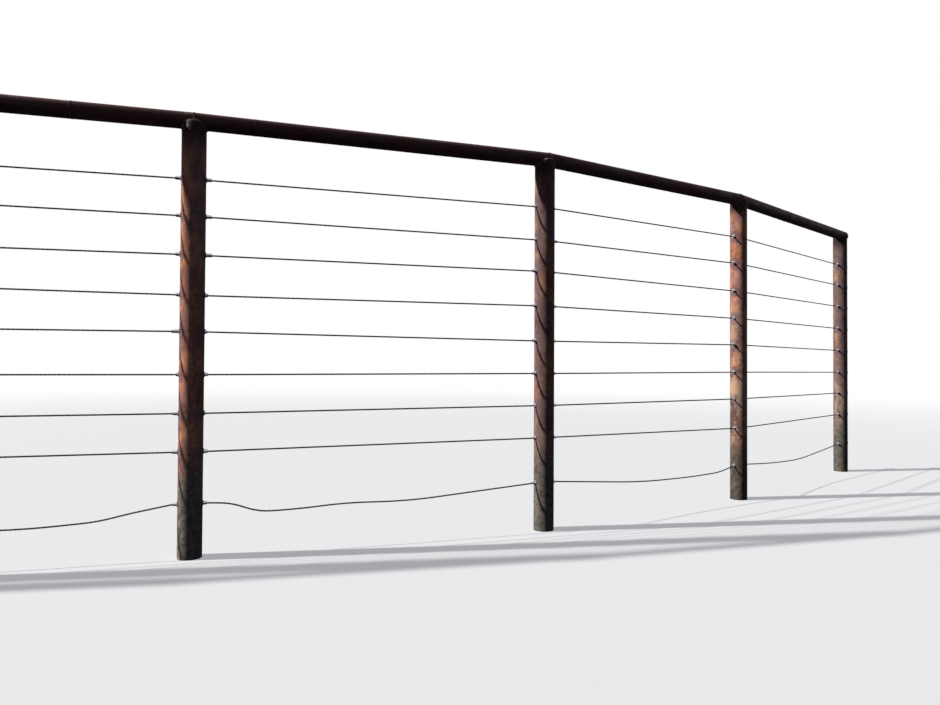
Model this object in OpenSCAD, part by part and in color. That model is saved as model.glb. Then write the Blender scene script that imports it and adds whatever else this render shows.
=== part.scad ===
// Six bays of a pipe and cable fence for cattle, curving gently from end to end.
// Steel pipe posts carry a welded pipe top rail in notched tops, and nine steel
// cables run from end to end through short pipe sleeves welded into the posts.
// The origin is on the foot of the fourth post, in the middle of its front wall.
// +X runs along the fourth bay, +Y away from the outer side, +Z up.

/* [Run of the fence] */
// Length of the first bay from the left, post centre to post centre
bay_1 = 1450; // [1000:10:2400]
// Length of the second bay
bay_2 = 1450; // [1000:10:2400]
// Length of the third bay
bay_3 = 1450; // [1000:10:2400]
// Length of the fourth bay, which lies along X
bay_4 = 1457; // [1000:10:2400]
// Length of the fifth bay
bay_5 = 1364; // [1000:10:2400]
// Length of the sixth bay
bay_6 = 1520; // [1000:10:2400]
// Angle by which the fence turns at the second post, in degrees
angle_2 = 3.0; // [0:0.5:15]
// Angle at the third post, in degrees
angle_3 = 3.0; // [0:0.5:15]
// Angle at the fourth post, in degrees
angle_4 = 3.2; // [0:0.5:15]
// Angle at the fifth post, in degrees
angle_5 = 13.8; // [0:0.5:20]
// Angle at the sixth post, in degrees
angle_6 = 10.4; // [0:0.5:20]

/* [Posts] */
// Outer diameter of the post pipe
post_od = 88.9; // [76:0.1:115]
// Wall of the post pipe
post_wall = 5.5; // [3:0.1:9]
// How far the tops of the ears beside the rail lie below its centre line
ear_drop = 7; // [2:1:12]
// Radius to which the tops of the ears are rounded
ear_round = 60; // [54:1:90]

/* [Top rail] */
// Outer diameter of the rail pipe
rail_od = 63.5; // [52:0.1:68]
// Wall of the rail pipe
rail_wall = 3.9; // [2.5:0.1:6]
// Height of the rail's centre line above the ground
rail_height = 1643; // [1560:1:2000]
// How far the rail runs on past the centre of an end post
rail_overhang = 68; // [50:1:150]
// How far past the fifth post's centre the rail bends
bend_offset = 17.5; // [0:0.5:17.5]
// Thickness of the disc welded into each rail end
end_disc = 5; // [3:0.5:10]

/* [Cables] */
// Diameter of the cable
cable_od = 6.4; // [5:0.1:8]
// Height of the lowest cable's holes, where the cable hangs slack
lowest_hole = 191; // [150:1:220]
// Height of the second cable's holes
second_hole = 395; // [330:1:420]
// Spacing of the holes above the second one
hole_pitch = 148; // [120:1:155]
// Radius of the eye at each cable end
eye_radius = 20; // [14:1:30]
// Radius of the bend that leads into the eye
eye_neck = 30; // [20:1:45]

/* [Sleeves] */
// Outer diameter of the sleeve pipe
sleeve_od = 13.7; // [12:0.1:17]
// Wall of the sleeve pipe
sleeve_wall = 2.2; // [1:0.1:2.4]
// How far a sleeve stands out of its post at each end, before its own stray
sleeve_out = 16; // [12:1:30]

/* [Cable clips] */
// Length of a clip's saddle along the cable
clip_length = 17; // [12:1:24]
// Height of the saddle above the cable
saddle_height = 8; // [5:0.5:12]
// Distance between the legs of the U bolt
clip_span = 19; // [18.2:0.1:24]
// Diameter of the U bolt's rod
clip_rod = 7.9; // [6:0.1:8.6]
// How far the legs stand out above the saddle
leg_out = 11; // [8:1:16]

/* [Fits] */
// Gap left between pieces that seat on each other
fit_gap = 0.3; // [0.1:0.05:0.5]

/* [Hidden] */
$fn = 48;

// Sides of a cable's tube, and steps in the bends of its eyes
cable_sides = 8;
neck_steps = 3;
round_steps = 14;

bays = [bay_1, bay_2, bay_3, bay_4, bay_5, bay_6];
angles = [0, angle_2, angle_3, angle_4, angle_5, angle_6, 0];
last_post = len(bays);
home_index = 3;

// The holes were marked out by eye. Post by post and from the lowest row up, how far
// each lies above or below an even spacing, as shares of hole_pitch.
strays = [
    [0.014, -0.007, 0.014, -0.007, -0.020, 0.027, 0.034, 0.034, 0],
    [0.034, 0.007, -0.014, -0.014, 0.014, 0.007, 0.020, 0.020, -0.027],
    [0.041, 0, -0.041, -0.047, 0.027, 0.034, -0.054, -0.020, -0.101],
    [0.074, 0.007, -0.020, -0.034, 0.057, -0.014, 0.014, 0, -0.051],
    [0.122, 0.078, 0.041, 0, -0.027, 0.020, 0.054, -0.007, -0.014],
    [-0.041, -0.043, 0.034, 0.020, 0.027, 0.007, 0.014, 0.041, 0.020],
    [0, 0, 0, -0.027, -0.007, 0.020, 0.054, 0.047, 0.014]
];
rows = len(strays[0]);
function hole_z(i, row) =
    strays[i][row] * hole_pitch
    + (row == 0 ? lowest_hole : second_hole + (row - 1) * hole_pitch);

// Where the lowest cable hangs, bay by bay, as the share of the way across the
// bay and the drop below its holes as a share of the bay.
slack = [
    [[0.30, 0.0234], [0.62, 0.0310], [0.86, 0.0138]],
    [[0.24, 0.0179], [0.50, 0.0359], [0.78, 0.0248]],
    [[0.34, 0.0330], [0.62, 0.0440], [0.81, 0.0340], [0.89, 0.0175]],
    [[0.065, 0.0040], [0.14, 0.0315], [0.25, 0.0308], [0.39, 0.0225], [0.58, 0.0285]],
    [[0.44, 0.0290], [0.74, 0.0270], [0.91, 0.0195]],
    [[0.22, 0.0164], [0.52, 0.0289], [0.80, 0.0125]]
];

// The sleeves were cut and pushed in by eye. Post by post and from the lowest row up,
// how far each stands out on the left and on the right, as shares of sleeve_out.
even = [for (row = [0 : rows - 1]) [1, 1]];
stubs = [
    even,
    [[0.9, 1.1], [1.3, 0.7], [0.8, 1.0], [1.1, 1.2], [0.6, 1.3], [1.2, 0.8], [1.0, 0.9],
        [0.7, 1.1], [1.1, 1.0]],
    [[1.1, 0.8], [0.9, 1.2], [1.4, 0.6], [1.0, 0.9], [0.8, 1.3], [1.1, 1.1], [0.7, 1.0],
        [1.2, 0.8], [0.9, 1.2]],
    [[1.0, 0.9], [1.25, 0.95], [1.2, 0.35], [0.65, 0.8], [1.7, 0.55], [0.9, 0.7],
        [1.0, 1.4], [1.0, 1.25], [1.25, 1.2]],
    [[0.75, 0.8], [0.6, 0.9], [0.45, 1.1], [1.05, 0.7], [1.0, 0.75], [0.85, 0.9],
        [1.05, 0.6], [0.5, 1.2], [0.55, 0.5]],
    [[0.6, 0.9], [0.45, 1.0], [0.4, 0.8], [0.7, 1.0], [1.3, 0.5], [0.4, 1.1],
        [0.8, 0.8], [0.9, 0.7], [0.6, 1.0]],
    even
];

// Compass of the run: each bay's direction, each post's place and the direction
// of its sleeves, which halves the turn at the post.
function heading(bay) =
    bay == home_index ? 0
    : bay > home_index ? heading(bay - 1) + angles[bay]
    : heading(bay + 1) - angles[bay + 1];
function along(angle) = [cos(angle), sin(angle), 0];
function place(post) =
    post == home_index ? [0, (post_od - post_wall) / 2, 0]
    : post > home_index ? place(post - 1) + bays[post - 1] * along(heading(post - 1))
    : place(post + 1) - bays[post] * along(heading(post));
function facing(post) =
    post == 0 ? heading(0)
    : post == last_post ? heading(last_post - 1)
    : (heading(post - 1) + heading(post)) / 2;

// How far a sleeve's end is from its post's centre, on the side -1 or 1.
function reach(i, row, side) = post_od / 2 + sleeve_out * stubs[i][row][side < 0 ? 0 : 1];
sleeve_bore = sleeve_od - 2 * sleeve_wall;
// The cable rests on the bottom of the sleeve.
cable_drop = (sleeve_bore - cable_od) / 2 - fit_gap;
notch_width = rail_od + 2 * fit_gap;
bore_r = post_od / 2 - post_wall;
wall_start = sqrt(max(0, pow(bore_r, 2) - pow(notch_width / 2, 2)));
notch_start = wall_start / 2;

// The rail bends a little past the fifth post's centre, but inside the post's bore,
// so that each side of its notch takes one length of rail.
bend_index = 4;
bend_shift = max(0, min(bend_offset,
    wall_start - fit_gap - rail_od / 2 * tan(angles[bend_index] / 2)));
function bend(post) =
    place(post) + (post == bend_index ? bend_shift : 0) * along(heading(post - 1));
function rail_way(bay) = let (v = bend(bay + 1) - bend(bay)) atan2(v.y, v.x);
function mitre(post) = (rail_way(post - 1) + rail_way(post)) / 2;

// How far a cut runs on past the piece that it cuts.
cut_past = 1;

// A rod or hole along the level direction given by an angle, centred on z = 0.
module level_rod(angle, d, length, centred = true) {
    rotate([0, 0, angle])
    rotate([0, 90, 0])
    cylinder(d = d, h = length, center = centred);
}

// The room that the rail needs in one side of a post top. It starts inside the post's
// bore, where there is no wall to cut.
module notch(angle, start = notch_start) {
    rotate([0, 0, angle])
    translate([start, 0, 0])
    rotate([0, 90, 0])
    cylinder(d = notch_width, h = post_od);
}

// What is cut away above the two ears to leave their tops round.
module above_ears(angle) {
    rotate([0, 0, angle])
    difference() {
        translate([-post_od, -post_od, -rail_od / 2])
        cube([2 * post_od, 2 * post_od, rail_od]);
        translate([0, 0, -ear_drop - ear_round])
        rotate([90, 0, 0])
        cylinder(r = ear_round, h = 2 * post_od + 2 * cut_past, center = true);
    }
}

// Pipe post with nine pairs of holes and a top notched to cradle the rail.
module post(i) {
    arriving = rail_way(max(i - 1, 0));
    leaving = rail_way(min(i, last_post - 1));
    shift = norm(bend(i) - place(i));
    color("#7c4a34")
    translate(place(i))
    difference() {
        cylinder(d = post_od, h = rail_height);
        translate([0, 0, -cut_past])
        cylinder(r = bore_r, h = rail_height + 2 * cut_past);
        translate([0, 0, rail_height]) {
            translate(shift * along(arriving))
            notch(leaving, notch_start - shift);
            notch(arriving + 180);
            above_ears(facing(i));
        }
        for (row = [0 : rows - 1]) {
            translate([0, 0, hole_z(i, row)])
            level_rod(facing(i), sleeve_od + 2 * fit_gap, 2 * post_od);
        }
    }
}

// Half space beyond a plane that stands upright across a direction.
module beyond(angle) {
    size = 4 * rail_od;
    rotate([0, 0, angle])
    translate([0, -size / 2, -size / 2])
    cube([size, size, size]);
}

// One length of the top rail, cut at half the turn where it meets the next.
module rail(bay) {
    angle = rail_way(bay);
    first = bay == 0;
    last = bay == last_post - 1;
    spare = rail_od;
    back = first ? rail_overhang : spare;
    front = last ? rail_overhang : spare;
    length = back + norm(bend(bay + 1) - bend(bay)) + front;
    color("#4a2a26")
    translate([0, 0, rail_height])
    difference() {
        translate(bend(bay) - back * along(angle))
        level_rod(angle, rail_od, length, false);
        translate(bend(bay) - (back + cut_past) * along(angle))
        level_rod(angle, rail_od - 2 * rail_wall, length + 2 * cut_past, false);
        if (!first) {
            translate(bend(bay))
            beyond(mitre(bay) + 180);
        }
        if (!last) {
            translate(bend(bay + 1))
            beyond(mitre(bay + 1));
        }
    }
}

// Disc welded into an open rail end, flush with the pipe.
module rail_disc(i, outward) {
    angle = facing(i) + (outward > 0 ? 0 : 180);
    color("#4a2a26")
    translate(place(i) + [0, 0, rail_height] + (rail_overhang - end_disc) * along(angle))
    level_rod(angle, rail_od - 2 * rail_wall - 2 * fit_gap, end_disc, false);
}

// Short pipes through a post, one to each cable.
module sleeves(i) {
    color("#8a5f4a")
    for (row = [0 : rows - 1]) {
        left = reach(i, row, -1);
        length = left + reach(i, row, 1);
        translate(place(i) + [0, 0, hole_z(i, row)])
        difference() {
            translate(-left * along(facing(i)))
            level_rod(facing(i), sleeve_od, length, false);
            translate(-(left + cut_past) * along(facing(i)))
            level_rod(facing(i), sleeve_bore, length + 2 * cut_past, false);
        }
    }
}

// Route of a cable: in and out of the sleeves, through its slack between them, and
// round an eye at each end.
function mouth(i, row, side) =
    place(i) + side * reach(i, row, side) * along(facing(i))
    + [0, 0, hole_z(i, row) - cable_drop];
function between(bay, row) =
    row > 0 ? []
    : [for (s = slack[bay])
        mouth(bay, row, 1) * (1 - s[0]) + mouth(bay + 1, row, -1) * s[0]
        - [0, 0, s[1] * bays[bay]]];
function run(row) = [
    for (i = [0 : last_post])
        each concat(
            i == 0 ? [] : [mouth(i, row, -1)],
            i == last_post ? [] : [mouth(i, row, 1)],
            i == last_post ? [] : between(i, row))
];

// The bent end beyond a clip, as [outward, up] from the clip's outer face: out along
// a neck, round a teardrop, and back under the cable to the clip's inner face.
lay_gap = cable_od + fit_gap;
neck_angle = acos((eye_neck + lay_gap / 2) / (eye_neck + eye_radius));
neck = [
    for (k = [0 : neck_steps])
        let (turn = k * neck_angle / neck_steps)
        eye_neck * [sin(turn), 1 - cos(turn)]
];
teardrop = [
    for (k = [1 : round_steps - 1])
        let (turn = (90 + neck_angle) * (1 - 2 * k / round_steps))
        [(eye_neck + eye_radius) * sin(neck_angle), -lay_gap / 2]
        + eye_radius * [cos(turn), sin(turn)]
];
eye_path = concat(
    neck,
    teardrop,
    [for (k = [neck_steps : -1 : 0]) [neck[k].x, -lay_gap - neck[k].y]],
    [[-clip_length, -lay_gap]]
);
function eye(i, row, outward) = [
    for (p = eye_path)
        mouth(i, row, outward)
        + (fit_gap + clip_length + p.x) * outward * along(facing(i)) + [0, 0, p.y]
];
function backwards(list) = [for (k = [len(list) - 1 : -1 : 0]) list[k]];

// A tube swept along points, with a ring of corners square to the way at each one.
// level gives each ring's level direction across the way.
function unit(v) = v / norm(v);
function way(points, k) =
    let (last = len(points) - 1)
    unit((k < last ? unit(points[k + 1] - points[k]) : [0, 0, 0])
        + (k > 0 ? unit(points[k] - points[k - 1]) : [0, 0, 0]));
function across(v) = unit([-v.y, v.x, 0]);
function corner(k, j) = k * cable_sides + (j % cable_sides);

module tube(points, level) {
    last = len(points) - 1;
    corners = [
        for (k = [0 : last], j = [0 : cable_sides - 1])
            let (turn = 360 * j / cable_sides, t = way(points, k))
            points[k] + cable_od / 2 * (cos(turn) * level[k] + sin(turn) * cross(t, level[k]))
    ];
    sides = [
        for (k = [0 : last - 1], j = [0 : cable_sides - 1])
            each [
                [corner(k, j), corner(k + 1, j), corner(k + 1, j + 1)],
                [corner(k, j), corner(k + 1, j + 1), corner(k, j + 1)]
            ]
    ];
    back_end = [for (j = [0 : cable_sides - 1]) corner(0, j)];
    front_end = [for (j = [cable_sides - 1 : -1 : 0]) corner(last, j)];
    polyhedron(corners, concat([back_end], sides, [front_end]));
}

// Steel cable from eye to eye through all the posts.
module cable(row) {
    left_eye = backwards(eye(0, row, -1));
    right_eye = eye(last_post, row, 1);
    middle = run(row);
    points = concat(left_eye, middle, right_eye);
    level = concat(
        [for (p = left_eye) across(along(facing(0)))],
        [for (k = [0 : len(middle) - 1]) across(way(points, len(left_eye) + k))],
        [for (p = right_eye) across(along(facing(last_post)))]
    );
    color("#5a5753")
    tube(points, level);
}

// Places a clip part at each cable's mouth on an end post, with +X outward.
module at_clips(i, outward) {
    for (row = [0 : rows - 1]) {
        translate(mouth(i, row, outward))
        rotate([0, 0, facing(i) + (outward > 0 ? 0 : 180)])
        translate([fit_gap, 0, 0])
        children();
    }
}

// Grooved saddle that presses on the cable, drilled for the two legs.
module saddle() {
    width = clip_span + 2 * clip_rod;
    floor_z = fit_gap;
    top_z = cable_od / 2 + saddle_height;
    difference() {
        translate([0, 0, floor_z])
        union() {
            translate([0, -clip_span / 2, 0])
            cube([clip_length, clip_span, top_z - floor_z]);
            for (side = [-1, 1]) {
                translate([clip_length / 2, side * clip_span / 2, 0])
                cylinder(d = min(clip_length, width - clip_span), h = top_z - floor_z);
            }
        }
        translate([-cut_past, 0, 0])
        rotate([0, 90, 0])
        cylinder(d = cable_od + 2 * fit_gap, h = clip_length + 2 * cut_past);
        for (side = [-1, 1]) {
            translate([clip_length / 2, side * clip_span / 2, -cut_past])
            cylinder(d = clip_rod + 2 * fit_gap, h = top_z + 2 * cut_past);
        }
    }
}

// U bolt round the cable and its returned end, with the legs up through the saddle.
module u_bolt() {
    bend_z = -lay_gap - cable_od / 2 - fit_gap + (clip_span - clip_rod) / 2;
    leg_top = cable_od / 2 + saddle_height + leg_out;
    translate([clip_length / 2, 0, bend_z]) {
        for (side = [-1, 1]) {
            translate([0, side * clip_span / 2, 0])
            cylinder(d = clip_rod, h = leg_top - bend_z);
        }
        rotate([0, -90, 0])
        rotate([0, 0, 90])
        rotate_extrude(angle = 180)
        translate([clip_span / 2, 0])
        circle(d = clip_rod);
    }
}

module clip_saddles(i, outward) {
    color("#77716a")
    at_clips(i, outward)
    saddle();
}

module clip_bolts(i, outward) {
    color("#8b857c")
    at_clips(i, outward)
    u_bolt();
}

for (i = [0 : last_post]) {
    post(i);
    sleeves(i);
}
for (bay = [0 : last_post - 1]) {
    rail(bay);
}
for (row = [0 : rows - 1]) {
    cable(row);
}
rail_disc(0, -1);  // rail_disc_left
rail_disc(last_post, 1);  // rail_disc_right
clip_saddles(0, -1);  // clip_saddles_left
clip_saddles(last_post, 1);  // clip_saddles_right
clip_bolts(0, -1);  // clip_bolts_left
clip_bolts(last_post, 1);  // clip_bolts_right
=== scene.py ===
"""The finishes of a pipe and cable fence for cattle: rust, weld beads, twisted strand
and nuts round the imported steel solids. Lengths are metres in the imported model's frame,
with +X along the fourth bay, +Y away from the outer side and the posts' feet at zero."""

import bpy
import numpy as np
from mathutils import Matrix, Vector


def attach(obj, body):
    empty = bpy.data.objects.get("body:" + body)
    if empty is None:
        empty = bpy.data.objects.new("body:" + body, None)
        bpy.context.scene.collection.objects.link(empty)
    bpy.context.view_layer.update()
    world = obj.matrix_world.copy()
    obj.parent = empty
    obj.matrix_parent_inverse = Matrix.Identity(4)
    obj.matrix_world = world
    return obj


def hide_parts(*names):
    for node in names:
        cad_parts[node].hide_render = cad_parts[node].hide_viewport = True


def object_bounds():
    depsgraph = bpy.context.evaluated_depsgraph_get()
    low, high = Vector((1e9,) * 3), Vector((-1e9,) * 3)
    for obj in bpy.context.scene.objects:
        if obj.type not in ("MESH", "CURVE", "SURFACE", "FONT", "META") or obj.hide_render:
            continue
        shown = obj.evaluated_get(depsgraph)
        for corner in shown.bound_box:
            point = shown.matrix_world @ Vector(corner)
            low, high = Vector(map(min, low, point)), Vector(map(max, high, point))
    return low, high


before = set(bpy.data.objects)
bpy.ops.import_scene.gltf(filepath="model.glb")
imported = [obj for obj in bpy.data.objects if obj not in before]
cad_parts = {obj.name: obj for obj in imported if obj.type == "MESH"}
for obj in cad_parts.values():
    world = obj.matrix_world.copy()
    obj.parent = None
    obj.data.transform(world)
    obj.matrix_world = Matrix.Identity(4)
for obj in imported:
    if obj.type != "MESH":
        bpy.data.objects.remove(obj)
solid_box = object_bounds()

# Camera. It stands 2.8 m in front of the fourth post and 73 cm up, turned 19 degrees to
# the right along the fence and tilted up by one. The lens is a plain wide one, 706 times
# the width of a pixel in a picture of 940 by 705.
picture_width, focal_length = 940, 706
lens = bpy.data.cameras.new("camera")
lens.sensor_width = 36.0
lens.lens = lens.sensor_width * focal_length / picture_width
lens.clip_start, lens.clip_end = 0.02, 400
camera = bpy.data.objects.new("camera", lens)
bpy.context.scene.collection.objects.link(camera)
turned, tilted, rolled = np.radians([-19.12, 90.90, 0.31])
camera.matrix_world = (
    Matrix.Translation((0.119, -2.812, 0.732))
    @ Matrix.Rotation(turned, 4, "Z")
    @ Matrix.Rotation(tilted, 4, "X")
    @ Matrix.Rotation(rolled, 4, "Z")
)
bpy.context.scene.camera = camera
bpy.context.scene.view_settings.view_transform = "Standard"


# Room. A pale floor that runs out into a white backdrop, a soft sun from the left and a
# little behind the fence, and a dim bluish light from all round. Only rays that come
# from the camera, a mirror or a glass find the backdrop white.
def colour(code):
    """Linear red, green, blue and alpha of an sRGB hex code: c / 12.92 up to 0.04045,
    ((c + 0.055) / 1.055) ** 2.4 above it. A plain number is a linear grey."""
    if not isinstance(code, str):
        return (code, code, code, 1.0)
    part = np.array([int(code[i:i + 2], 16) for i in (1, 3, 5)]) / 255
    linear = np.where(part <= 0.04045, part / 12.92, ((part + 0.055) / 1.055) ** 2.4)
    return (*linear.tolist(), 1.0)


def add(tree, kind, inputs=(), output=0, stops=(), **settings):
    """Adds a node, sets its properties, fills or links its inputs, and gives back one
    output. inputs maps a socket's name or number to a value or to another socket;
    stops are the places and colours of a ramp."""
    made = tree.nodes.new(kind)
    for name, value in settings.items():
        setattr(made, name, value)
    for key, value in dict(inputs).items():
        if isinstance(value, bpy.types.NodeSocket):
            tree.links.new(value, made.inputs[key])
        else:
            made.inputs[key].default_value = value
    if stops:
        points = made.color_ramp.elements
        while len(points) < len(stops):
            points.new(1.0)
        for point, (place, tone) in zip(points, stops):
            point.position, point.color = place, colour(tone)
    return made.outputs[output] if made.outputs else made


def bare_finish(name):
    """A new material and its tree of nodes, which is still empty."""
    finish = bpy.data.materials.new(name)
    finish.use_nodes = True
    finish.node_tree.nodes.clear()
    return finish, finish.node_tree


world = bpy.data.worlds.new("soft_sky")
bpy.context.scene.world = world
world.use_nodes = True
sky = world.node_tree
sky.nodes.clear()
straight = add(sky, "ShaderNodeLightPath", output="Is Camera Ray")
for kind in ("Is Glossy Ray", "Is Transmission Ray"):
    other = add(sky, "ShaderNodeLightPath", output=kind)
    straight = add(sky, "ShaderNodeMath", {0: straight, 1: other}, operation="MAXIMUM")
dim = add(sky, "ShaderNodeBackground", {"Color": colour("#a4c0ff"), "Strength": 0.088})
white = add(sky, "ShaderNodeBackground", {"Color": colour("#ffffff"), "Strength": 1.0})
sky_mix = add(sky, "ShaderNodeMixShader", {0: straight, 1: dim, 2: white})
add(sky, "ShaderNodeOutputWorld", {"Surface": sky_mix})

sun = bpy.data.lights.new("soft_sun", "SUN")
sun.energy = 4.8
sun.angle = np.radians(1.3)
sun_holder = bpy.data.objects.new("soft_sun", sun)
bpy.context.scene.collection.objects.link(sun_holder)
sun_turned, sun_leant = np.radians([-100.5, 61])
sun_holder.matrix_world = (
    Matrix.Rotation(sun_turned, 4, "Z") @ Matrix.Rotation(sun_leant, 4, "X"))

# The floor's paint is matt and pale to the camera, but it throws back the light of a dark
# grey, so that the shaded side of the pipes stays much darker than the lit one. Between
# 5 and 18 m away it passes into the backdrop.
floor_paint, tree = bare_finish("pale_floor")
here = add(tree, "ShaderNodeTexCoord", output="Object")
away = add(tree, "ShaderNodeVectorMath", {0: here, 1: (0, 1, 0)}, 1,
           operation="DISTANCE")
away = add(tree, "ShaderNodeMapRange", {0: away, 1: 5.0, 2: 18.0, 3: 0.35, 4: 1.0},
           interpolation_type="SMOOTHSTEP")
seen = add(tree, "ShaderNodeLightPath", output="Is Camera Ray")
away = add(tree, "ShaderNodeMath", {0: away, 1: seen}, operation="MULTIPLY")
pale = add(tree, "ShaderNodeMix", {
    0: seen, 6: colour("#383b3f"), 7: colour("#f4f4f1")}, 2, data_type="RGBA")
matt = add(tree, "ShaderNodeBsdfPrincipled", {
    "Base Color": pale, "Roughness": 0.9, "Specular IOR Level": 0.2})
glow = add(tree, "ShaderNodeEmission", {"Color": colour("#ffffff"), "Strength": 1.0})
blend = add(tree, "ShaderNodeMixShader", {0: away, 1: matt, 2: glow})
add(tree, "ShaderNodeOutputMaterial", {"Surface": blend})

reach = 80.0
floor_mesh = bpy.data.meshes.new("floor")
floor_mesh.from_pydata(
    [(-reach, -reach, 0), (reach, -reach, 0), (reach, reach, 0), (-reach, reach, 0)],
    [], [(0, 1, 2, 3)])
floor_mesh.materials.append(floor_paint)
floor = bpy.data.objects.new("floor", floor_mesh)
bpy.context.scene.collection.objects.link(floor)


# Posts. Seven lengths of 3 inch steel pipe, notched at the top with a torch and sunk in
# at the foot. They are bare: flaking rust between the holes, lilac scale where the
# sleeves were welded, and a grey, earthy foot.
post_count, bay_count = 7, 6
post_radius, post_wall = 0.04445, 0.0055

# The length of each bay, and how far the fence turns at the post where the bay begins.
# The frame starts in the front wall of the fourth post and is laid along its bay. The
# sleeves of a post point half way between its two bays.
bay_lengths = np.array([1.450, 1.450, 1.450, 1.457, 1.364, 1.520])
turns = np.radians([0, 3.0, 3.0, 3.2, 13.8, 10.4])
home = 3
headings = np.cumsum(turns) - np.cumsum(turns)[home]
bay_ways = np.stack([np.cos(headings), np.sin(headings)], 1)
centres = np.concatenate([[[0, 0]], np.cumsum(bay_lengths[:, None] * bay_ways, 0)])
centres += (0, post_radius - post_wall / 2) - centres[home]
facings = np.concatenate([
    headings[:1], (headings[:-1] + headings[1:]) / 2, headings[-1:]])

# Each post's nine holes stray a little from an even spacing, here in shares of the pitch.
hole_pitch, lowest_hole, second_hole = 0.148, 0.191, 0.395
strays = np.array([
    [0.014, -0.007, 0.014, -0.007, -0.020, 0.027, 0.034, 0.034, 0],
    [0.034, 0.007, -0.014, -0.014, 0.014, 0.007, 0.020, 0.020, -0.027],
    [0.041, 0, -0.041, -0.047, 0.027, 0.034, -0.054, -0.020, -0.101],
    [0.074, 0.007, -0.020, -0.034, 0.057, -0.014, 0.014, 0, -0.051],
    [0.122, 0.078, 0.041, 0, -0.027, 0.020, 0.054, -0.007, -0.014],
    [-0.041, -0.043, 0.034, 0.020, 0.027, 0.007, 0.014, 0.041, 0.020],
    [0, 0, 0, -0.027, -0.007, 0.020, 0.054, 0.047, 0.014],
])
even_holes = np.array([lowest_hole, *(second_hole + hole_pitch * np.arange(8))])
hole_heights = even_holes + hole_pitch * strays

# Each post's old rust, its fresher rust, the share of the fresher one, the height up to
# which it is dusty, and how light the earth on its foot is: 1 is the lightest, and less is
# darker.
rusts = [
    ("#90675f", "#b07c63", 0.40, 0.6, 1), ("#8b655e", "#a7775e", 0.45, 0.5, 1),
    ("#946b60", "#b37f65", 0.50, 0.6, 1), ("#ab766b", "#d6906c", 0.62, 0.5, 1),
    ("#815e5a", "#9b6c53", 0.50, 0.5, 0.8), ("#b07d70", "#d08a66", 0.60, 1.1, 0.4),
    ("#7e6660", "#926d5f", 0.42, 0.8, 0.6),
]


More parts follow.
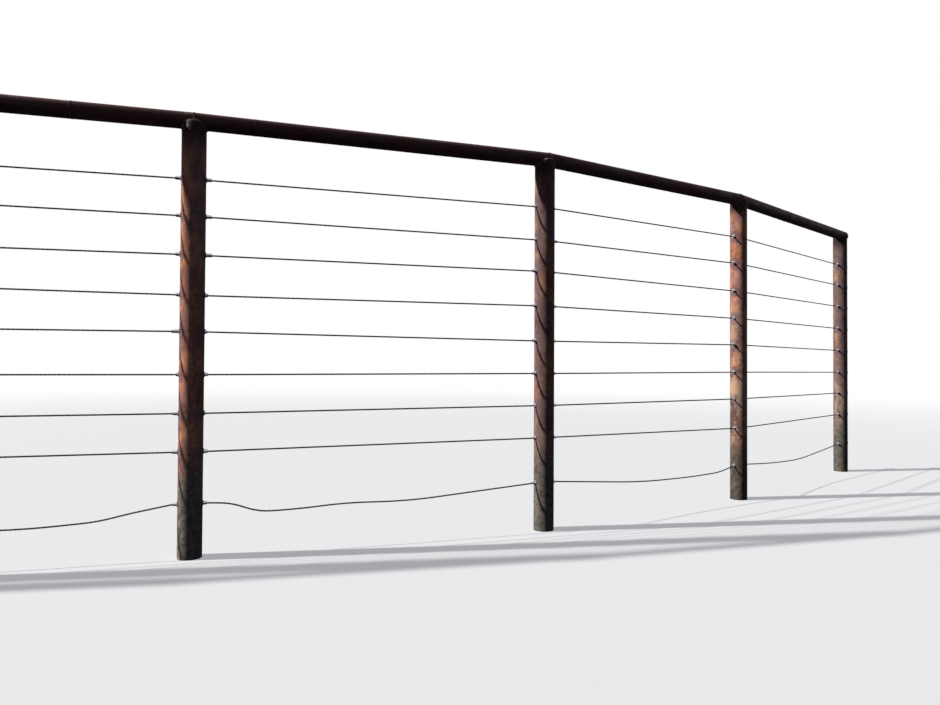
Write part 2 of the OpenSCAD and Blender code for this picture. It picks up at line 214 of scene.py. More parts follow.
def rusted_post(name, centre, turn, holes, old, fresh, share, dusty, foot_lightness):
    """Hot rolled pipe steel, rusted for years and matt to the eye: rosy and orange rust
    in clouds of 9 by 20 cm, paler and darker in patches of 6 by 13 cm and mottles of
    2 cm, with dark runs 13 mm wide and pits of 3 mm. Each post has its own, as the marks
    follow its axis and the turn of its sleeves."""
    finish, tree = bare_finish(name)
    here = add(tree, "ShaderNodeTexCoord", output="Object")
    tall = add(tree, "ShaderNodeMapping", {"Vector": here, "Scale": (1, 1, 0.45)})
    drips = add(tree, "ShaderNodeMapping", {"Vector": here, "Scale": (1, 1, 0.05)})
    patches = add(tree, "ShaderNodeTexNoise", {
        "Vector": tall, "Scale": 17, "Detail": 6, "Roughness": 0.62, "Distortion": 0.3})
    mottles = add(tree, "ShaderNodeTexNoise", {
        "Vector": here, "Scale": 48, "Detail": 6, "Roughness": 0.68})
    grain = add(tree, "ShaderNodeTexNoise", {
        "Vector": here, "Scale": 330, "Detail": 4, "Roughness": 0.7})
    runs = add(tree, "ShaderNodeTexNoise", {
        "Vector": drips, "Scale": 75, "Detail": 4, "Roughness": 0.55})
    clouds = add(tree, "ShaderNodeTexNoise", {
        "Vector": tall, "Scale": 11, "Detail": 6, "Roughness": 0.65})

    # Old rust is a rosy brown, and where it has flaked a fresher orange brown shows.
    flaked = add(tree, "ShaderNodeMapRange", {
        0: clouds, 1: 0.64 - 0.28 * share, 2: 0.78 - 0.34 * share, 3: 0.0, 4: 1.0},
        interpolation_type="SMOOTHSTEP")
    rust = add(tree, "ShaderNodeMix", {0: flaked, 6: colour(old), 7: colour(fresh)}, 2,
               data_type="RGBA")
    tone = add(tree, "ShaderNodeMix", {0: 0.35, 2: patches, 3: mottles}, 0)
    depth = add(tree, "ShaderNodeMapRange", {0: tone, 1: 0.38, 2: 0.62, 3: 0.48, 4: 1.42})
    rust = add(tree, "ShaderNodeVectorMath", {0: rust, 1: depth}, operation="MULTIPLY")

    # Stains: dull grey where no rust has flaked, ochre bloom, pale specks, dark pits and
    # dark runs of rain. A ramp over the pattern says how much of the stain is on it.
    stains = [
        (clouds, [(0.38, 0.6), (0.46, 0.0)], "#6e625c"),
        (patches, [(0.55, 0.0), (0.64, 0.6)], "#b58f62"),
        (grain, [(0.58, 0.0), (0.74, 0.4)], "#d0aa8c"),
        (grain, [(0.30, 0.5), (0.40, 0.0)], "#4a3532"),
        (runs, [(0.56, 0.0), (0.72, 0.35)], "#5c403b"),
    ]
    for pattern, ramp, stain in stains:
        cover = add(tree, "ShaderNodeValToRGB", {0: pattern}, stops=ramp)
        rust = add(tree, "ShaderNodeMix", {0: cover, 6: rust, 7: colour(stain)}, 2,
                   data_type="RGBA")

    # The distance from the nearest sleeve's middle line, here 4 mm lower than it is,
    # because the scale burnt on by its weld reaches further down than up.
    burn_drop = 0.004
    axis = add(tree, "ShaderNodeMapping", {
        "Vector": here, "Location": (*centre, 0), "Rotation": (0, 0, turn)},
        vector_type="TEXTURE")
    flat = add(tree, "ShaderNodeVectorMath", {0: axis, 1: (0, 1, 1)}, operation="MULTIPLY")
    near = 1.0
    for hole in holes:
        from_hole = add(tree, "ShaderNodeVectorMath", {
            0: flat, 1: (0, 0, hole - burn_drop)}, 1, operation="DISTANCE")
        near = add(tree, "ShaderNodeMath", {0: near, 1: from_hole}, operation="MINIMUM")

    height = add(tree, "ShaderNodeSeparateXYZ", {0: here}, 2)
    mud = add(tree, "ShaderNodeValToRGB", {0: tone}, stops=[
        (0.42, "#54463e"), (0.49, "#927c6b"), (0.56, "#bda48c")])
    soil = add(tree, "ShaderNodeValToRGB", {0: mottles}, stops=[
        (0.36, "#55534b"), (0.50, "#737067"), (0.64, "#8d8a7e")])
    soil = add(tree, "ShaderNodeVectorMath", {0: soil, 1: (foot_lightness, foot_lightness, foot_lightness)},
               operation="MULTIPLY")

    # Coats with ragged edges: a distance plus a share of a pattern runs from where the
    # coat begins to where it has its full strength.
    coats = [
        # Scale burnt on by the welding, in a ring round each sleeve and below it.
        (near, 0.040, mottles, 0.068, 0.042, 0.8, colour("#735a5f")),
        # Dark scale where the top was heated to weld it to the rail, made darker and deeper
        # as painted shade of the rail.
        (height, 0.09, mottles, 1.56, 1.64, 0.9, colour("#30282a")),
        # Dust and splashed mud, thinning out upwards, with darker smudges in it.
        (height, 0.6, clouds, dusty + 0.3, dusty - 0.25, 0.6, mud),
        # Dull grey earth on the foot, up to knee height in tongues.
        (height, -0.55, patches, 0.12, -0.06, 0.85, soil),
    ]
    for distance, part, pattern, begins, full, strength, coat in coats:
        ragged = add(tree, "ShaderNodeMath", {0: pattern, 1: part, 2: distance},
                     operation="MULTIPLY_ADD")
        cover = add(tree, "ShaderNodeMapRange", {
            0: ragged, 1: begins, 2: full, 3: 0.0, 4: strength},
            interpolation_type="SMOOTHSTEP")
        rust = add(tree, "ShaderNodeMix", {0: cover, 6: rust, 7: coat}, 2,
                   data_type="RGBA")

    rough = add(tree, "ShaderNodeMapRange", {0: flaked, 1: 0.0, 2: 1.0, 3: 0.72, 4: 0.88})
    relief = add(tree, "ShaderNodeMath", {0: grain, 1: 0.45, 2: mottles},
                 operation="MULTIPLY_ADD")
    pits = add(tree, "ShaderNodeBump", {
        "Strength": 0.5, "Distance": 0.0015, "Height": relief})
    steel = add(tree, "ShaderNodeBsdfPrincipled", {
        "Base Color": rust, "Roughness": rough, "Normal": pits,
        "Specular IOR Level": 0.04})
    add(tree, "ShaderNodeOutputMaterial", {"Surface": steel})
    return finish


def dress(node, finish):
    """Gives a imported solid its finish."""
    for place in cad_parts[node].material_slots:
        place.material = finish


for i in range(post_count):
    dress(f"post_{i + 1}", rusted_post(
        f"rusted_post_{i + 1}", centres[i], facings[i], hole_heights[i], *rusts[i]))


# Sleeves. Short cuts of quarter inch pipe through the holes, nine to a post, cut and
# pushed in by eye, so that they stand out by 6 to 27 mm. Their ends are rubbed paler
# than the posts. Their upper side is also painted near white as a painted highlight,
# and their underside dark as painted shade.
sleeve_out = 0.016

# How far each sleeve stands out on its left and its right, as shares of sleeve_out: a
# row for each post, which goes from the lowest sleeve up.
even = [[1, 1]] * 9
stubs = sleeve_out * np.array([
    even,
    [[0.9, 1.1], [1.3, 0.7], [0.8, 1.0], [1.1, 1.2], [0.6, 1.3], [1.2, 0.8], [1.0, 0.9],
     [0.7, 1.1], [1.1, 1.0]],
    [[1.1, 0.8], [0.9, 1.2], [1.4, 0.6], [1.0, 0.9], [0.8, 1.3], [1.1, 1.1], [0.7, 1.0],
     [1.2, 0.8], [0.9, 1.2]],
    [[1.0, 0.9], [1.25, 0.95], [1.2, 0.35], [0.65, 0.8], [1.7, 0.55], [0.9, 0.7],
     [1.0, 1.4], [1.0, 1.25], [1.25, 1.2]],
    [[0.75, 0.8], [0.6, 0.9], [0.45, 1.1], [1.05, 0.7], [1.0, 0.75], [0.85, 0.9],
     [1.05, 0.6], [0.5, 1.2], [0.55, 0.5]],
    [[0.6, 0.9], [0.45, 1.0], [0.4, 0.8], [0.7, 1.0], [1.3, 0.5], [0.4, 1.1],
     [0.8, 0.8], [0.9, 0.7], [0.6, 1.0]],
    even,
])


def rubbed_top_lit_sleeve(name, centre):
    """Pipe steel rubbed to a pale grey beyond the post's skin, duller in 1 cm mottles and
    pitted at 2 mm. Rust is left in the first 3 mm from the post. The pale grey is partly a
    painted highlight: it lies only on the upper side, and the underside is painted the
    dark rust colour as painted shade."""
    finish, tree = bare_finish(name)
    here = add(tree, "ShaderNodeTexCoord", output="Object")
    mottles = add(tree, "ShaderNodeTexNoise", {
        "Vector": here, "Scale": 110, "Detail": 5, "Roughness": 0.65})
    grain = add(tree, "ShaderNodeTexNoise", {"Vector": here, "Scale": 500, "Detail": 3})
    level = add(tree, "ShaderNodeVectorMath", {0: here, 1: (1, 1, 0)}, operation="MULTIPLY")
    out = add(tree, "ShaderNodeVectorMath", {0: level, 1: (*centre, 0)}, 1,
              operation="DISTANCE")
    out = add(tree, "ShaderNodeMapRange", {
        0: out, 1: post_radius, 2: post_radius + 0.003, 3: 0.0, 4: 1.0})
    rubbed_pale_and_highlight = add(tree, "ShaderNodeValToRGB", {0: mottles}, stops=[
        (0.36, "#c4b8b0"), (0.44, "#eae4de"), (0.52, "#faf7f3")])
    # Painted light: the upper side gets the pale colour as a painted highlight, and the
    # underside gets the dark one as painted shade.
    upward = add(tree, "ShaderNodeNewGeometry", output="Normal")
    upward = add(tree, "ShaderNodeSeparateXYZ", {0: upward}, 2)
    upward = add(tree, "ShaderNodeMapRange", {
        0: upward, 1: -0.45, 2: 0.25, 3: 0.0, 4: 1.0}, interpolation_type="SMOOTHSTEP")
    # From here on, out holds both the rubbed ends and the painted top light. The metal
    # share below follows it too.
    out = add(tree, "ShaderNodeMath", {0: out, 1: upward}, operation="MULTIPLY")
    rust = add(tree, "ShaderNodeMix", {0: out, 6: colour("#4e3f40"), 7: rubbed_pale_and_highlight}, 2,
               data_type="RGBA")
    rough = add(tree, "ShaderNodeMapRange", {0: mottles, 1: 0.4, 2: 0.6, 3: 0.55, 4: 0.35})
    metal = add(tree, "ShaderNodeMath", {0: out, 1: 0.5}, operation="MULTIPLY")
    pits = add(tree, "ShaderNodeBump", {
        "Strength": 0.5, "Distance": 0.0006, "Height": grain})
    steel = add(tree, "ShaderNodeBsdfPrincipled", {
        "Base Color": rust, "Roughness": rough, "Metallic": metal, "Normal": pits})
    add(tree, "ShaderNodeOutputMaterial", {"Surface": steel})
    return finish


for i in range(post_count):
    dress(f"sleeves_{i + 1}", rubbed_top_lit_sleeve(f"rubbed_top_lit_sleeves_{i + 1}", centres[i]))


# Top rail. Lengths of 2.5 inch steel tube laid in the notches and butt welded. It is the
# darkest part: maroon brown scale with lengthwise scuffs, and a lighter, redder upper side
# that is painted top light. It bends over each inner post, at the fifth one 17.5 mm past
# the post's centre.
rail_radius, rail_height, rail_overhang = 0.03175, 1.643, 0.068
late_bend = 0.0175
bends = centres.copy()
bends[4] += late_bend * bay_ways[3]
rail_runs = np.diff(bends, axis=0)
rail_angles = np.arctan2(rail_runs[:, 1], rail_runs[:, 0])

# Each end of the fence: its post, the way out of it along the sleeves, and its name.
ends = [(0, -1, "left"), (post_count - 1, 1, "right")]


def dark_rail(name, turn):
    """Rolled pipe under old dark scale, a little smoother than the posts: streaks along
    the pipe, 7 mm wide and 10 cm long, clouds of 8 cm, and pits of 3 mm."""
    finish, tree = bare_finish(name)
    here = add(tree, "ShaderNodeTexCoord", output="Object")
    lengthwise = add(tree, "ShaderNodeMapping", {
        "Vector": here, "Rotation": (0, 0, turn)}, vector_type="TEXTURE")
    lengthwise = add(tree, "ShaderNodeMapping", {
        "Vector": lengthwise, "Scale": (0.07, 1, 1)})
    streaks = add(tree, "ShaderNodeTexNoise", {
        "Vector": lengthwise, "Scale": 150, "Detail": 5, "Roughness": 0.6})
    clouds = add(tree, "ShaderNodeTexNoise", {
        "Vector": here, "Scale": 12, "Detail": 6, "Roughness": 0.65, "Distortion": 0.4})
    grain = add(tree, "ShaderNodeTexNoise", {
        "Vector": here, "Scale": 350, "Detail": 4, "Roughness": 0.7})
    tone = add(tree, "ShaderNodeMix", {0: 0.45, 2: clouds, 3: streaks}, 0)
    scale = add(tree, "ShaderNodeValToRGB", {0: tone}, stops=[
        (0.38, "#251719"), (0.47, "#352123"), (0.55, "#45292a"), (0.66, "#5f3b36")])
    speck = add(tree, "ShaderNodeValToRGB", {0: grain}, stops=[(0.62, 0.0), (0.74, 0.4)])
    # Painted top light: the upper side of the pipe is painted a lighter, redder brown.
    upward = add(tree, "ShaderNodeNewGeometry", output="Normal")
    upward = add(tree, "ShaderNodeSeparateXYZ", {0: upward}, 2)
    painted_top_light = add(tree, "ShaderNodeMapRange", {0: upward, 1: 0.35, 2: 0.95, 3: 0.0, 4: 0.55},
                interpolation_type="SMOOTHSTEP")
    # Here and there it is scraped down to a paler, pinkish grey, 1 to 3 cm across. The
    # scrapes are multiplied by the painted top light, so they are partly painted highlight
    # and show only on the upper side.
    scrapes_and_top_light = add(tree, "ShaderNodeTexNoise", {
        "Vector": here, "Scale": 22, "Detail": 4, "Roughness": 0.6})
    scrapes_and_top_light = add(tree, "ShaderNodeMapRange", {
        0: scrapes_and_top_light, 1: 0.60, 2: 0.68, 3: 0.0, 4: 1.3}, interpolation_type="SMOOTHSTEP")
    scrapes_and_top_light = add(tree, "ShaderNodeMath", {0: scrapes_and_top_light, 1: painted_top_light}, operation="MULTIPLY")
    for cover, stain in ((speck, "#7d5546"), (painted_top_light, "#7d5852"), (scrapes_and_top_light, "#b39a92")):
        scale = add(tree, "ShaderNodeMix", {0: cover, 6: scale, 7: colour(stain)}, 2,
                    data_type="RGBA")
    relief = add(tree, "ShaderNodeMath", {0: grain, 1: 0.4, 2: tone},
                 operation="MULTIPLY_ADD")
    pits = add(tree, "ShaderNodeBump", {
        "Strength": 0.45, "Distance": 0.0012, "Height": relief})
    rough = add(tree, "ShaderNodeMapRange", {0: tone, 1: 0.4, 2: 0.6, 3: 0.58, 4: 0.80})
    steel = add(tree, "ShaderNodeBsdfPrincipled", {
        "Base Color": scale, "Roughness": rough, "Normal": pits,
        "Specular IOR Level": 0.12})
    add(tree, "ShaderNodeOutputMaterial", {"Surface": steel})
    return finish


rail_finishes = [dark_rail(f"dark_rail_{i + 1}", rail_angles[i]) for i in range(bay_count)]
for i, finish in enumerate(rail_finishes):
    dress(f"rail_{i + 1}", finish)
for i, side, end in ends:
    dress(f"rail_disc_{end}", rail_finishes[min(i, bay_count - 1)])


# Cables. Nine runs of 6.4 mm galvanised strand, six wires laid round a seventh, from
# an eye at the first post to an eye at the last. Each lies low in its sleeves. The
# lowest one hangs slack and kinked between the posts.
cable_count, cable_radius, cable_drop = 9, 0.0032, 0.00115

# A returned end lies 6.7 mm under its cable in a clip 17 mm long, which begins 0.3 mm
# from the sleeve. Between the clip and the eye both bend on arcs of 30 mm.
clip_length, lay_gap, fit_gap = 0.017, 0.0067, 0.0003
eye_radius, eye_neck = 0.0198, 0.030

# The kinks of the lowest cable in each bay: how far along it, and how far under the
# straight line, both as shares of the bay's length.
slack = [
    [(0.30, 0.0234), (0.62, 0.0310), (0.86, 0.0138)],
    [(0.24, 0.0179), (0.50, 0.0359), (0.78, 0.0248)],
    [(0.34, 0.0330), (0.62, 0.0440), (0.81, 0.0340), (0.89, 0.0175)],
    [(0.065, 0.0040), (0.14, 0.0315), (0.25, 0.0308), (0.39, 0.0225), (0.58, 0.0285)],
    [(0.44, 0.0290), (0.74, 0.0270), (0.91, 0.0195)],
    [(0.22, 0.0164), (0.52, 0.0289), (0.80, 0.0125)],
]
# How far before and after a sleeve's mouth and a kink the cable bends, at most the
# given share of the way to the next corner, and the points on each bend.
mouth_ease, kink_ease, most_ease, ease_points = 0.004, 0.16, 0.48, 9
upright = np.array([0, 0, 1.0])


def laid(start, *moves):
    """Points laid out from a start: the start, plus each row of distances times its
    direction."""
    path = start
    for distances, way in moves:
        path = path + np.reshape(distances, (-1, 1)) * way
    return path


def bar(path, beside, radius, closed=False):
    """Grid of points on a round bar bent along a path: row k is the circle, or the
    section given by radius[k], that stands square to the path at point k, and column j
    lies at angle a on it: path + radius (cos a u + sin a w), with u the beside
    direction made square to the path, and w square to both."""
    ahead = np.roll(path, -1, 0) - np.roll(path, 1, 0)
    if not closed:
        ahead[0], ahead[-1] = path[1] - path[0], path[-1] - path[-2]
    ahead /= np.linalg.norm(ahead, axis=1, keepdims=True)
    u = beside - np.sum(beside * ahead, 1, keepdims=True) * ahead
    u /= np.linalg.norm(u, axis=1, keepdims=True)
    w = np.cross(ahead, u)
    a = np.arange(radius.shape[1]) * 2 * np.pi / radius.shape[1]
    spokes = np.cos(a)[None, :, None] * u[:, None] + np.sin(a)[None, :, None] * w[:, None]
    return path[:, None] + radius[..., None] * spokes


def piece(name, bars, finish):
    """One object from several bars, each a grid of points and whether it closes on
    itself. Neighbouring points of a grid make the faces, and an open bar gets a flat
    face at each end."""
    corners, faces, first = [], [], 0
    for grid, closed in bars:
        rows, around = grid.shape[:2]
        i = np.arange(rows if closed else rows - 1)[:, None] * around
        after = np.arange(1, rows + (1 if closed else 0))[:, None] % rows * around
        j, beyond = np.arange(around)[None], (np.arange(around)[None] + 1) % around
        quads = np.stack([i + j, i + beyond, after + beyond, after + j], -1)
        faces += (quads.reshape(-1, 4) + first).tolist()
        if not closed:
            faces.append((first + np.arange(around)[::-1]).tolist())
            faces.append((first + (rows - 1) * around + np.arange(around)).tolist())
        corners.append(grid.reshape(-1, 3))
        first += rows * around
    mesh = bpy.data.meshes.new(name)
    mesh.from_pydata(np.concatenate(corners).tolist(), [], faces)
    mesh.polygons.foreach_set("use_smooth", np.array([len(f) == 4 for f in faces]))
    mesh.materials.append(finish)
    made = bpy.data.objects.new(name, mesh)
    bpy.context.scene.collection.objects.link(made)
    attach(made, "root")
    return made


def level_way(angle):
    """Level unit vector at an angle from +X."""
    return np.array([np.cos(angle), np.sin(angle), 0])


def outward(i):
    """Level unit vector along the sleeves of post i."""
    return level_way(facings[i])


def mouth(i, row, side):
    """Where cable row leaves the sleeve of post i on one side: from the hole's middle,
    down by the cable's drop and out by the post's radius and the sleeve's end."""
    middle = np.array([*centres[i], hole_heights[i, row] - cable_drop])
    return middle + side * (post_radius + stubs[i, row, (side + 1) // 2]) * outward(i)


def eye(i, row, side):
    """Points of the returned end beyond a clip, in the upright plane of the sleeve: an
    arc up from the cable, a circle of eye_radius about a point between the two lays,
    and the mirrored arc back to a tail under the cable."""
    neck_points, circle_points = 14, 40
    lean = np.arccos((eye_neck + lay_gap / 2) / (eye_neck + eye_radius))
    bend = np.linspace(0, lean, neck_points)
    neck = eye_neck * np.stack([np.sin(bend), 1 - np.cos(bend)], 1)
    bend = np.linspace(np.pi / 2 + lean, -np.pi / 2 - lean, circle_points)[1:-1]
    middle = [(eye_neck + eye_radius) * np.sin(lean), -lay_gap / 2]
    circle = middle + eye_radius * np.stack([np.cos(bend), np.sin(bend)], 1)
    back = neck[::-1] * (1, -1) - (0, lay_gap)
    flat = np.concatenate([neck, circle, back, [[-clip_length, -lay_gap]]])
    start = mouth(i, row, side) + (fit_gap + clip_length) * side * outward(i)
    return laid(start, (flat[:, 0] * side, outward(i)), (flat[:, 1], upright))


def eased(points, ease):
    """The polyline with each inner corner rounded: a parabola from the point ease[k]
    before the corner to the point ease[k] after it, or just short of half way to the
    next corner."""
    corner = points[1:-1]
    before, after = corner - points[:-2], points[2:] - corner
    step = np.linalg.norm(before, axis=1), np.linalg.norm(after, axis=1)
    near = np.minimum(ease[1:-1], most_ease * np.minimum(*step))[:, None]
    a = corner - near * before / step[0][:, None]
    b = corner + near * after / step[1][:, None]
    t = np.linspace(0, 1, ease_points)[None, :, None]
    curve = ((1 - t) ** 2 * a[:, None] + 2 * t * (1 - t) * corner[:, None]
             + t ** 2 * b[:, None])
    return np.concatenate([points[:1], curve.reshape(-1, 3), points[-1:]])


def cable_route(row):
    """The whole way of a cable from tail to tail: the eye at its left, straight lines
    from mouth to mouth with eased corners, and the eye at its right. The lowest one's
    lines pass through its kinks."""
    points, ease = [], []
    for bay in range(bay_count):
        start, end = mouth(bay, row, 1), mouth(bay + 1, row, -1)
        points.append(start)
        kinks = slack[bay] if row == 0 else []
        for share, drop in kinks:
            on_line = (1 - share) * start + share * end
            points.append(on_line - (0, 0, drop * bay_lengths[bay]))
        points.append(end)
        ease += [mouth_ease, *[kink_ease] * len(kinks), mouth_ease]
    first_mouth, last_mouth = mouth(0, row, -1), mouth(post_count - 1, row, 1)
    points = [first_mouth, *points, last_mouth]
    ease = [mouth_ease, *ease, mouth_ease]
    middle = eased(np.array(points), np.array(ease))
    return np.concatenate([eye(0, row, -1)[::-1], middle, eye(post_count - 1, row, 1)])


wires, steps_per_wire = 6, 4
wire_radius = cable_radius / 3
lay_length = 0.090

# A strand's rows of points: 80 in the 24 cm at each end, where the eye bends, and 1080
# between.
end_length, end_rows, long_rows = 0.24, 80, 1080


def strand(row):
    """Twisted strand: a bar whose section is the outline of six round wires about a
    seventh, 2 r cos b + sqrt(r^2 - (2 r sin b)^2) at the angle b from the nearest
    wire's middle. It turns once in each lay length, from the way across the sleeves,
    which is blended along the cable from that of the first post to the last's."""
    route = cable_route(row)
    along = np.concatenate([[0], np.cumsum(np.linalg.norm(np.diff(route, axis=0), axis=1))])
    whole = along[-1]
    spots = np.concatenate([
        np.linspace(0, end_length, end_rows, endpoint=False),
        np.linspace(end_length, whole - end_length, long_rows, endpoint=False),
        np.linspace(whole - end_length, whole, end_rows + 1)])
    path = np.stack([np.interp(spots, along, route[:, k]) for k in range(3)], 1)
    share = np.clip((spots - end_length) / (whole - 2 * end_length), 0, 1)[:, None]
    across = [np.cross(upright, outward(i)) for i, side, end in ends]
    level = (1 - share) * across[0] + share * across[1]
    ahead = np.gradient(path, axis=0)
    ahead /= np.linalg.norm(ahead, axis=1, keepdims=True)
    level -= np.sum(level * ahead, 1, keepdims=True) * ahead
    level /= np.linalg.norm(level, axis=1, keepdims=True)
    turn = spots[:, None] / lay_length * 2 * np.pi
    twisted = np.cos(turn) * level + np.sin(turn) * np.cross(ahead, level)
    corners = np.arange(wires * steps_per_wire) * 2 * np.pi / (wires * steps_per_wire)
    b = (corners + np.pi / wires) % (2 * np.pi / wires) - np.pi / wires
    bow = np.sqrt(np.maximum(wire_radius ** 2 - (2 * wire_radius * np.sin(b)) ** 2, 0))
    outline = 2 * wire_radius * np.cos(b) + bow
    return bar(path, twisted, outline[None]), False


# Galvanised steel wire whose zinc has gone dull and dark. It has brown bloom in clouds
# of 11 cm with 2.5 mm grain, and where it is brown it is rough and no longer shines.
galvanised, tree = bare_finish("dull_galvanised_strand")
here = add(tree, "ShaderNodeTexCoord", output="Object")
clouds = add(tree, "ShaderNodeTexNoise", {
    "Vector": here, "Scale": 9, "Detail": 6, "Roughness": 0.7})
grain = add(tree, "ShaderNodeTexNoise", {"Vector": here, "Scale": 400, "Detail": 3})
tone = add(tree, "ShaderNodeMix", {0: 0.35, 2: clouds, 3: grain}, 0)
zinc = add(tree, "ShaderNodeValToRGB", {0: tone}, stops=[
    (0.40, "#36322f"), (0.50, "#4b4743"), (0.57, "#5a4a40"), (0.66, "#6f4f3c")])
rough = add(tree, "ShaderNodeMapRange", {0: tone, 1: 0.4, 2: 0.6, 3: 0.45, 4: 0.75})
metal = add(tree, "ShaderNodeMapRange", {0: tone, 1: 0.48, 2: 0.58, 3: 0.6, 4: 0.0})
steel = add(tree, "ShaderNodeBsdfPrincipled", {
    "Base Color": zinc, "Roughness": rough, "Metallic": metal})
add(tree, "ShaderNodeOutputMaterial", {"Surface": steel})

for row in range(cable_count):
    made = piece(f"cable_{row + 1}_strand", [strand(row)], galvanised)
    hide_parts(f"cable_{row + 1}")


# Weld beads. Each post is welded to the rail along the saddles of its notch and along
# the round tops of its two ears, and each sleeve is run round on both sides. The beads
# are mild steel, rusted purple brown at the rail and lilac grey round the sleeves.
def weld_metal(name, dark, middle, light):
    """Welded steel, as matt as the pipes now, in 8 mm mottles with 1.4 mm grain."""
    finish, tree = bare_finish(name)
    here = add(tree, "ShaderNodeTexCoord", output="Object")
    mottles = add(tree, "ShaderNodeTexNoise", {
        "Vector": here, "Scale": 120, "Detail": 5, "Roughness": 0.7})
    rust = add(tree, "ShaderNodeValToRGB", {0: mottles}, stops=[
        (0.40, dark), (0.52, middle), (0.62, light)])
    grain = add(tree, "ShaderNodeTexNoise", {"Vector": here, "Scale": 700, "Detail": 3})
    pits = add(tree, "ShaderNodeBump", {
        "Strength": 0.4, "Distance": 0.0005, "Height": grain})
    steel = add(tree, "ShaderNodeBsdfPrincipled", {
        "Base Color": rust, "Roughness": 0.75, "Normal": pits,
        "Specular IOR Level": 0.15})
    add(tree, "ShaderNodeOutputMaterial", {"Surface": steel})
    return finish


sleeve_weld = weld_metal("lilac_weld_metal", "#75666a", "#a5969a", "#b9a9ad")
rusted_weld = weld_metal("rusted_weld_metal", "#453434", "#6a5250", "#8a5f48")
grey_weld = weld_metal("grey_weld_metal", "#5d5350", "#8c8481", "#aea7a2")
rail_weld = weld_metal("dark_weld_metal", "#2c1c1d", "#40292a", "#5a3d39")
chance = np.random.default_rng(7)

# How much a bead swells with each stroke of the rod and in a slow wave, as shares of
# its radius, and the share it starts with at an open end and how long it takes to grow.
stroke_swell, least_swell, most_swell = 0.09, 0.03, 0.11
taper_start, taper_length = 0.35, 0.008


def bead(path, beside, size, closed, around=8, ripple=0.004):
    """A bar whose radius swells and sinks: size times (1 + the absolute sine of the
    rod's strokes, one to each ripple, + three slow sine waves of chance height and
    phase). An open bead tapers at both ends."""
    step = np.linalg.norm(np.diff(path, axis=0, append=path[:1]), axis=1)
    along = np.concatenate([[0], np.cumsum(step)])
    whole = along[-1] if closed else along[-2]
    along = along[:-1]
    count = max(1, round(whole / ripple))
    swell = stroke_swell * np.abs(np.sin(np.pi * count * along / whole))
    for k in (2, 3, 5):
        height = chance.uniform(least_swell, most_swell)
        phase = chance.uniform(0, 2 * np.pi)
        swell = swell + height * np.sin(2 * np.pi * k * along / whole + phase)
    if not closed:
        from_end = np.minimum(along, whole - along)
        swell = (1 + swell) * np.minimum(1, taper_start + from_end / taper_length) - 1
    radius = size * (1 + swell)[:, None] * np.ones(around)
    return bar(path, beside, radius, closed), closed


def on_rail(spot):
    """The point over a spot of the plan at the height of the rail's middle."""
    return np.array([*spot, rail_height])


# The ring round a sleeve; the run under the rail, over an arc of 0.95 radians to each
# side; and the run along an ear, whose top is an arc of 6 cm radius with its crown 7 mm
# under the rail's middle. Each has its bead's own radius last.
ring_radius, ring_lift, ring_bead = 0.0083, 0.0004, 0.0024
notch_reach, notch_lift, notch_bead = 0.95, 0.0008, 0.0034
ear_reach, ear_round, crown_drop, ear_bead = 0.0365, 0.060, 0.007, 0.0046
ear_middle, least_lift = post_radius - post_wall / 2, 0.001
coarse = {"around": 10, "ripple": 0.005}
ring_points, run_points = 60, 110

for i in range(post_count):
    axis, side_way = outward(i), np.cross(upright, outward(i))
    rings, beads = [], []
    b = np.linspace(0, 2 * np.pi, ring_points, endpoint=False)
    across, up = ring_radius * np.cos(b), ring_radius * np.sin(b)
    out = np.sqrt(post_radius ** 2 - across ** 2) + ring_lift
    for height in hole_heights[i]:
        for side in (-1, 1):
            path = laid(np.array([*centres[i], height]), (side * out, axis),
                        (across, side_way), (up, upright))
            rings.append(bead(path[::side], side * axis, ring_bead, True))
    piece(f"sleeve_{i + 1}_welds", rings, sleeve_weld)

    saddle, angles = on_rail(bends[i]), rail_angles[[max(i - 1, 0), min(i, bay_count - 1)]]
    b = np.linspace(-notch_reach, notch_reach, run_points)
    ring = rail_radius + notch_lift
    across, down = ring * np.sin(b), -ring * np.cos(b)
    for rail_way in (level_way(angles[0] + np.pi), level_way(angles[1])):
        square = np.cross(upright, rail_way)
        off = laid(saddle - on_rail(centres[i]), (across, square))
        run = off @ rail_way
        out = np.sqrt(run ** 2 + post_radius ** 2 - np.sum(off ** 2, 1)) - run
        path = laid(saddle, (out, rail_way), (across, square), (down, upright))
        beads.append(bead(path, rail_way, notch_bead, False))

    # The bead on an ear fills the gap from there to the rail's side, which turns with
    # the rail at its bend.
    along = np.linspace(-ear_reach, ear_reach, run_points)
    up = -(crown_drop + ear_round) + np.sqrt(ear_round ** 2 - along ** 2)
    start = (bends[i] - centres[i]) @ np.stack([axis[:2], side_way[:2]], 1)
    slopes = np.tan(angles - facings[i])
    line = start[1] + (along - start[0]) * np.where(along < start[0], *slopes)
    ear_side = np.sqrt(ear_middle ** 2 - along ** 2)
    for side in (-1, 1):
        rail_side = side * line + np.sqrt(rail_radius ** 2 - up ** 2)
        out = side * np.maximum((rail_side + ear_side) / 2, rail_side + least_lift)
        path = laid(on_rail(centres[i]), (along, axis), (out, side_way), (up, upright))
        beads.append(bead(path, side_way, ear_bead, False, **coarse))
    piece(f"post_{i + 1}_welds", beads, rusted_weld)

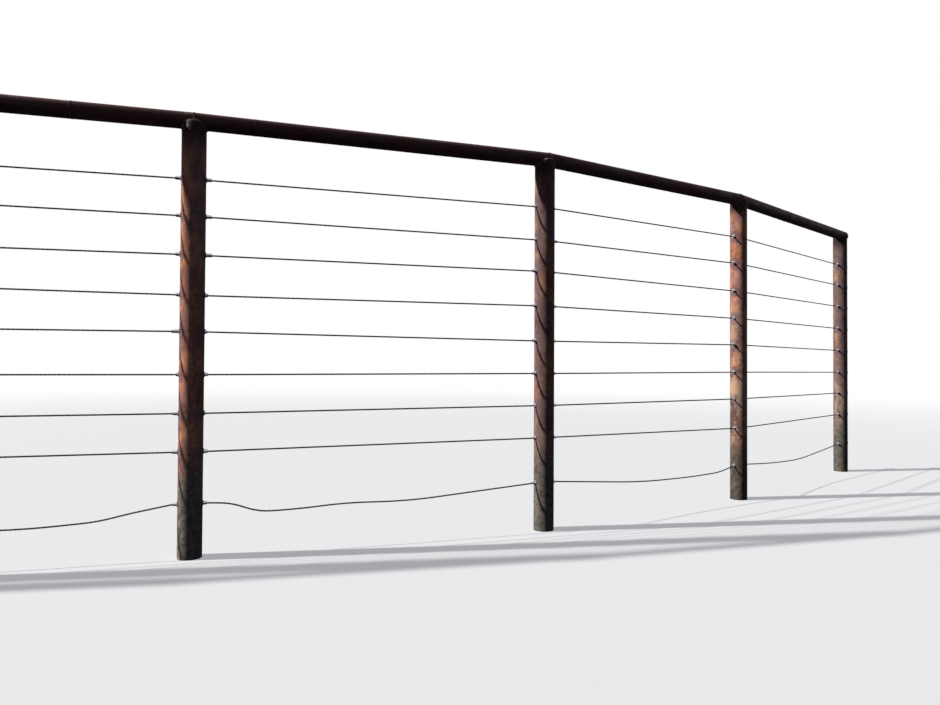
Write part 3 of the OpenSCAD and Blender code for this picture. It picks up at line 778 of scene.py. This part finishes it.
# Two of the front ears were gone over again: on the fourth post the metal has run down
# the left side, and on the fifth it lies along the crown. It has stayed light grey. Each
# run is given by points in millimetres: along the sleeves, up from the rail's middle, and
# out from the post's axis.
marks = [
    (3, [(20, -13, 41), (9, -10, 41), (-5, -10, 41.5), (-12, -16, 43.5), (-15.5, -29, 44.4),
         (-17, -43, 44.4)]),
    (3, [(-2, -14, 42), (-8, -21, 43.5), (-10, -33, 44.4), (-13, -45, 44.4)]),
    (3, [(-10, -10, 42), (-18, -17, 43.5), (-21, -28, 44.4), (-20, -38, 44.4)]),
    (4, [(-21, -12.5, 43.5), (-10, -9, 42.5), (0, -8, 42.5), (10, -9, 42.5),
         (21, -12.5, 43.5)]),
]
mark_points, mark_bead = 70, 0.0040

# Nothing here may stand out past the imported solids, so these beads stop at their front.
near_side = [-np.inf, solid_box[0].y, -np.inf]
beads = []
for i, mark in marks:
    side_way = np.cross(upright, outward(i))
    spots = np.array(mark) / 1000
    t = np.linspace(0, len(spots) - 1, mark_points)
    along, up, ring = (np.interp(t, np.arange(len(spots)), spots[:, k]) for k in range(3))
    path = laid(on_rail(centres[i]), (along, outward(i)),
                (-np.sqrt(ring ** 2 - along ** 2), side_way), (up, upright))
    grid, closed = bead(path, side_way, mark_bead, False, **coarse)
    beads.append((np.maximum(grid, near_side), closed))
piece("grey_ear_welds", beads, grey_weld)


# Rail joints. The lengths of the rail are run round where they meet, in a mitre over
# each inner post and square out in the bays, and a disc is run round in each open end.
# The beads are flatter than the others and as dark as the rail.
seam_radius, disc_radius = rail_radius - 0.0003, rail_radius - 0.0041
mitre_bead, joint_bead, disc_bead = 0.0021, 0.0015, 0.0024
seam_points = 120


def round_rail(middle, way, radius, half_turn=0.0):
    """Ring round the rail's middle line, in the upright plane square to a level way. At a
    mitre it is widened by 1 / cos of half the rail's turn there."""
    b = np.linspace(0, 2 * np.pi, seam_points, endpoint=False)
    return laid(middle, (radius / np.cos(half_turn) * np.cos(b), np.cross(upright, way)),
                (radius * np.sin(b), upright))


beads = []
for i in range(1, bay_count):
    way = level_way(rail_angles[i - 1:i + 1].mean())
    half_turn = np.diff(rail_angles)[i - 1] / 2
    path = round_rail(on_rail(bends[i]), way, seam_radius, half_turn)
    beads.append(bead(path, way, mitre_bead, True))

# The bay of each butt joint, and how far it is from the bend at that bay's left.
joints = [(2, 1.033), (3, 0.220), (5, 0.62), (0, 0.55)]
for bay, along in joints:
    way = level_way(rail_angles[bay])
    path = round_rail(on_rail(bends[bay]) + along * way, way, seam_radius)
    beads.append(bead(path, way, joint_bead, True))
for i, side, end in ends:
    middle = on_rail(centres[i]) + side * rail_overhang * outward(i)
    path = round_rail(middle, outward(i), disc_radius)
    beads.append(bead(path, outward(i), disc_bead, True))

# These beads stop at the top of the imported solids.
top = [np.inf, np.inf, solid_box[1].z]
beads = [(np.minimum(grid, top), closed) for grid, closed in beads]
piece("rail_joint_welds", beads, rail_weld)


# Cable clips. At each end of the fence nine forged saddles with U bolts press the
# returned ends on the cables. Two nuts, 12.7 mm across the flats, sit on each saddle,
# and the legs of the bolt are threaded above them.
clip_span, saddle_top, leg_top = 0.019, 0.0112, 0.0222
half_flat, nut_height, nut_corners = 0.00635, 0.0065, 48
thread_radius, thread_pitch, thread_depth, thread_end = 0.0040, 0.0013, 0.0004, 0.0006
thread_corners, rows_per_turn = 20, 7

# Galvanised forgings, still grey and somewhat shiny, with white bloom and a little rust
# in clouds of 17 mm with 1.7 mm grain.
clip_zinc, tree = bare_finish("galvanised_clips")
here = add(tree, "ShaderNodeTexCoord", output="Object")
clouds = add(tree, "ShaderNodeTexNoise", {
    "Vector": here, "Scale": 60, "Detail": 6, "Roughness": 0.7})
grain = add(tree, "ShaderNodeTexNoise", {"Vector": here, "Scale": 600, "Detail": 3})
tone = add(tree, "ShaderNodeMix", {0: 0.3, 2: clouds, 3: grain}, 0)
zinc = add(tree, "ShaderNodeValToRGB", {0: tone}, stops=[
    (0.38, "#6b6965"), (0.50, "#8b8984"), (0.58, "#9c9a94"), (0.66, "#83624c")])
rough = add(tree, "ShaderNodeMapRange", {0: tone, 1: 0.4, 2: 0.62, 3: 0.45, 4: 0.8})
metal = add(tree, "ShaderNodeMapRange", {0: tone, 1: 0.52, 2: 0.62, 3: 0.7, 4: 0.0})
pits = add(tree, "ShaderNodeBump", {"Strength": 0.3, "Distance": 0.0005, "Height": grain})
steel = add(tree, "ShaderNodeBsdfPrincipled", {
    "Base Color": zinc, "Roughness": rough, "Metallic": metal, "Normal": pits})
add(tree, "ShaderNodeOutputMaterial", {"Surface": steel})

# A nut's section is a hexagon, half_flat / cos of the angle from the nearest flat's
# middle, cut at both ends to a cone, which is wider by its slope times the depth.
cone_radius, cone_slope = 0.0067, 1.7
a = np.arange(nut_corners) * 2 * np.pi / nut_corners
hexagon = half_flat / np.cos((a + np.pi / 6) % (np.pi / 3) - np.pi / 6)
depth = np.array([0, 0.0002, 0.0005])
depth = np.concatenate([depth, nut_height - depth[::-1]])
cone = cone_radius + cone_slope * np.minimum(depth, nut_height - depth)
nut_section = np.minimum(hexagon, cone[:, None])

# A thread's radius is a triangle wave of the height, less a turn's share of the pitch. It
# stands 0.6 mm above the solid leg, and its top row is drawn in by as much.
bolt_end = leg_top + thread_end - saddle_top - nut_height
rise = np.arange(0, bolt_end, thread_pitch / rows_per_turn)
part_turn = np.arange(thread_corners) / thread_corners
wave = 2 * np.abs((rise[:, None] / thread_pitch - part_turn) % 1 - 0.5)
thread_section = thread_radius + thread_depth * (wave - 0.3)
thread_section[-1] = thread_radius - thread_end

for i, side, end in ends:
    for kind in ("saddles", "bolts"):
        dress(f"clip_{kind}_{end}", clip_zinc)
    bars, square = [], np.cross(upright, outward(i))
    for row in range(cable_count):
        middle = mouth(i, row, side) + side * (fit_gap + clip_length / 2) * outward(i)
        for leg in (-1, 1):
            foot = middle + leg * clip_span / 2 * square + (0, 0, saddle_top)
            swung = chance.uniform(0, 2 * np.pi)
            beside = np.cos(swung) * square + np.sin(swung) * outward(i)
            nut, thread = (depth, upright), (nut_height + rise, upright)
            bars.append((bar(laid(foot, nut), beside, nut_section), False))
            bars.append((bar(laid(foot, thread), square, thread_section), False))
    piece(f"clip_nuts_{end}", bars, clip_zinc)


bpy.context.view_layer.update()
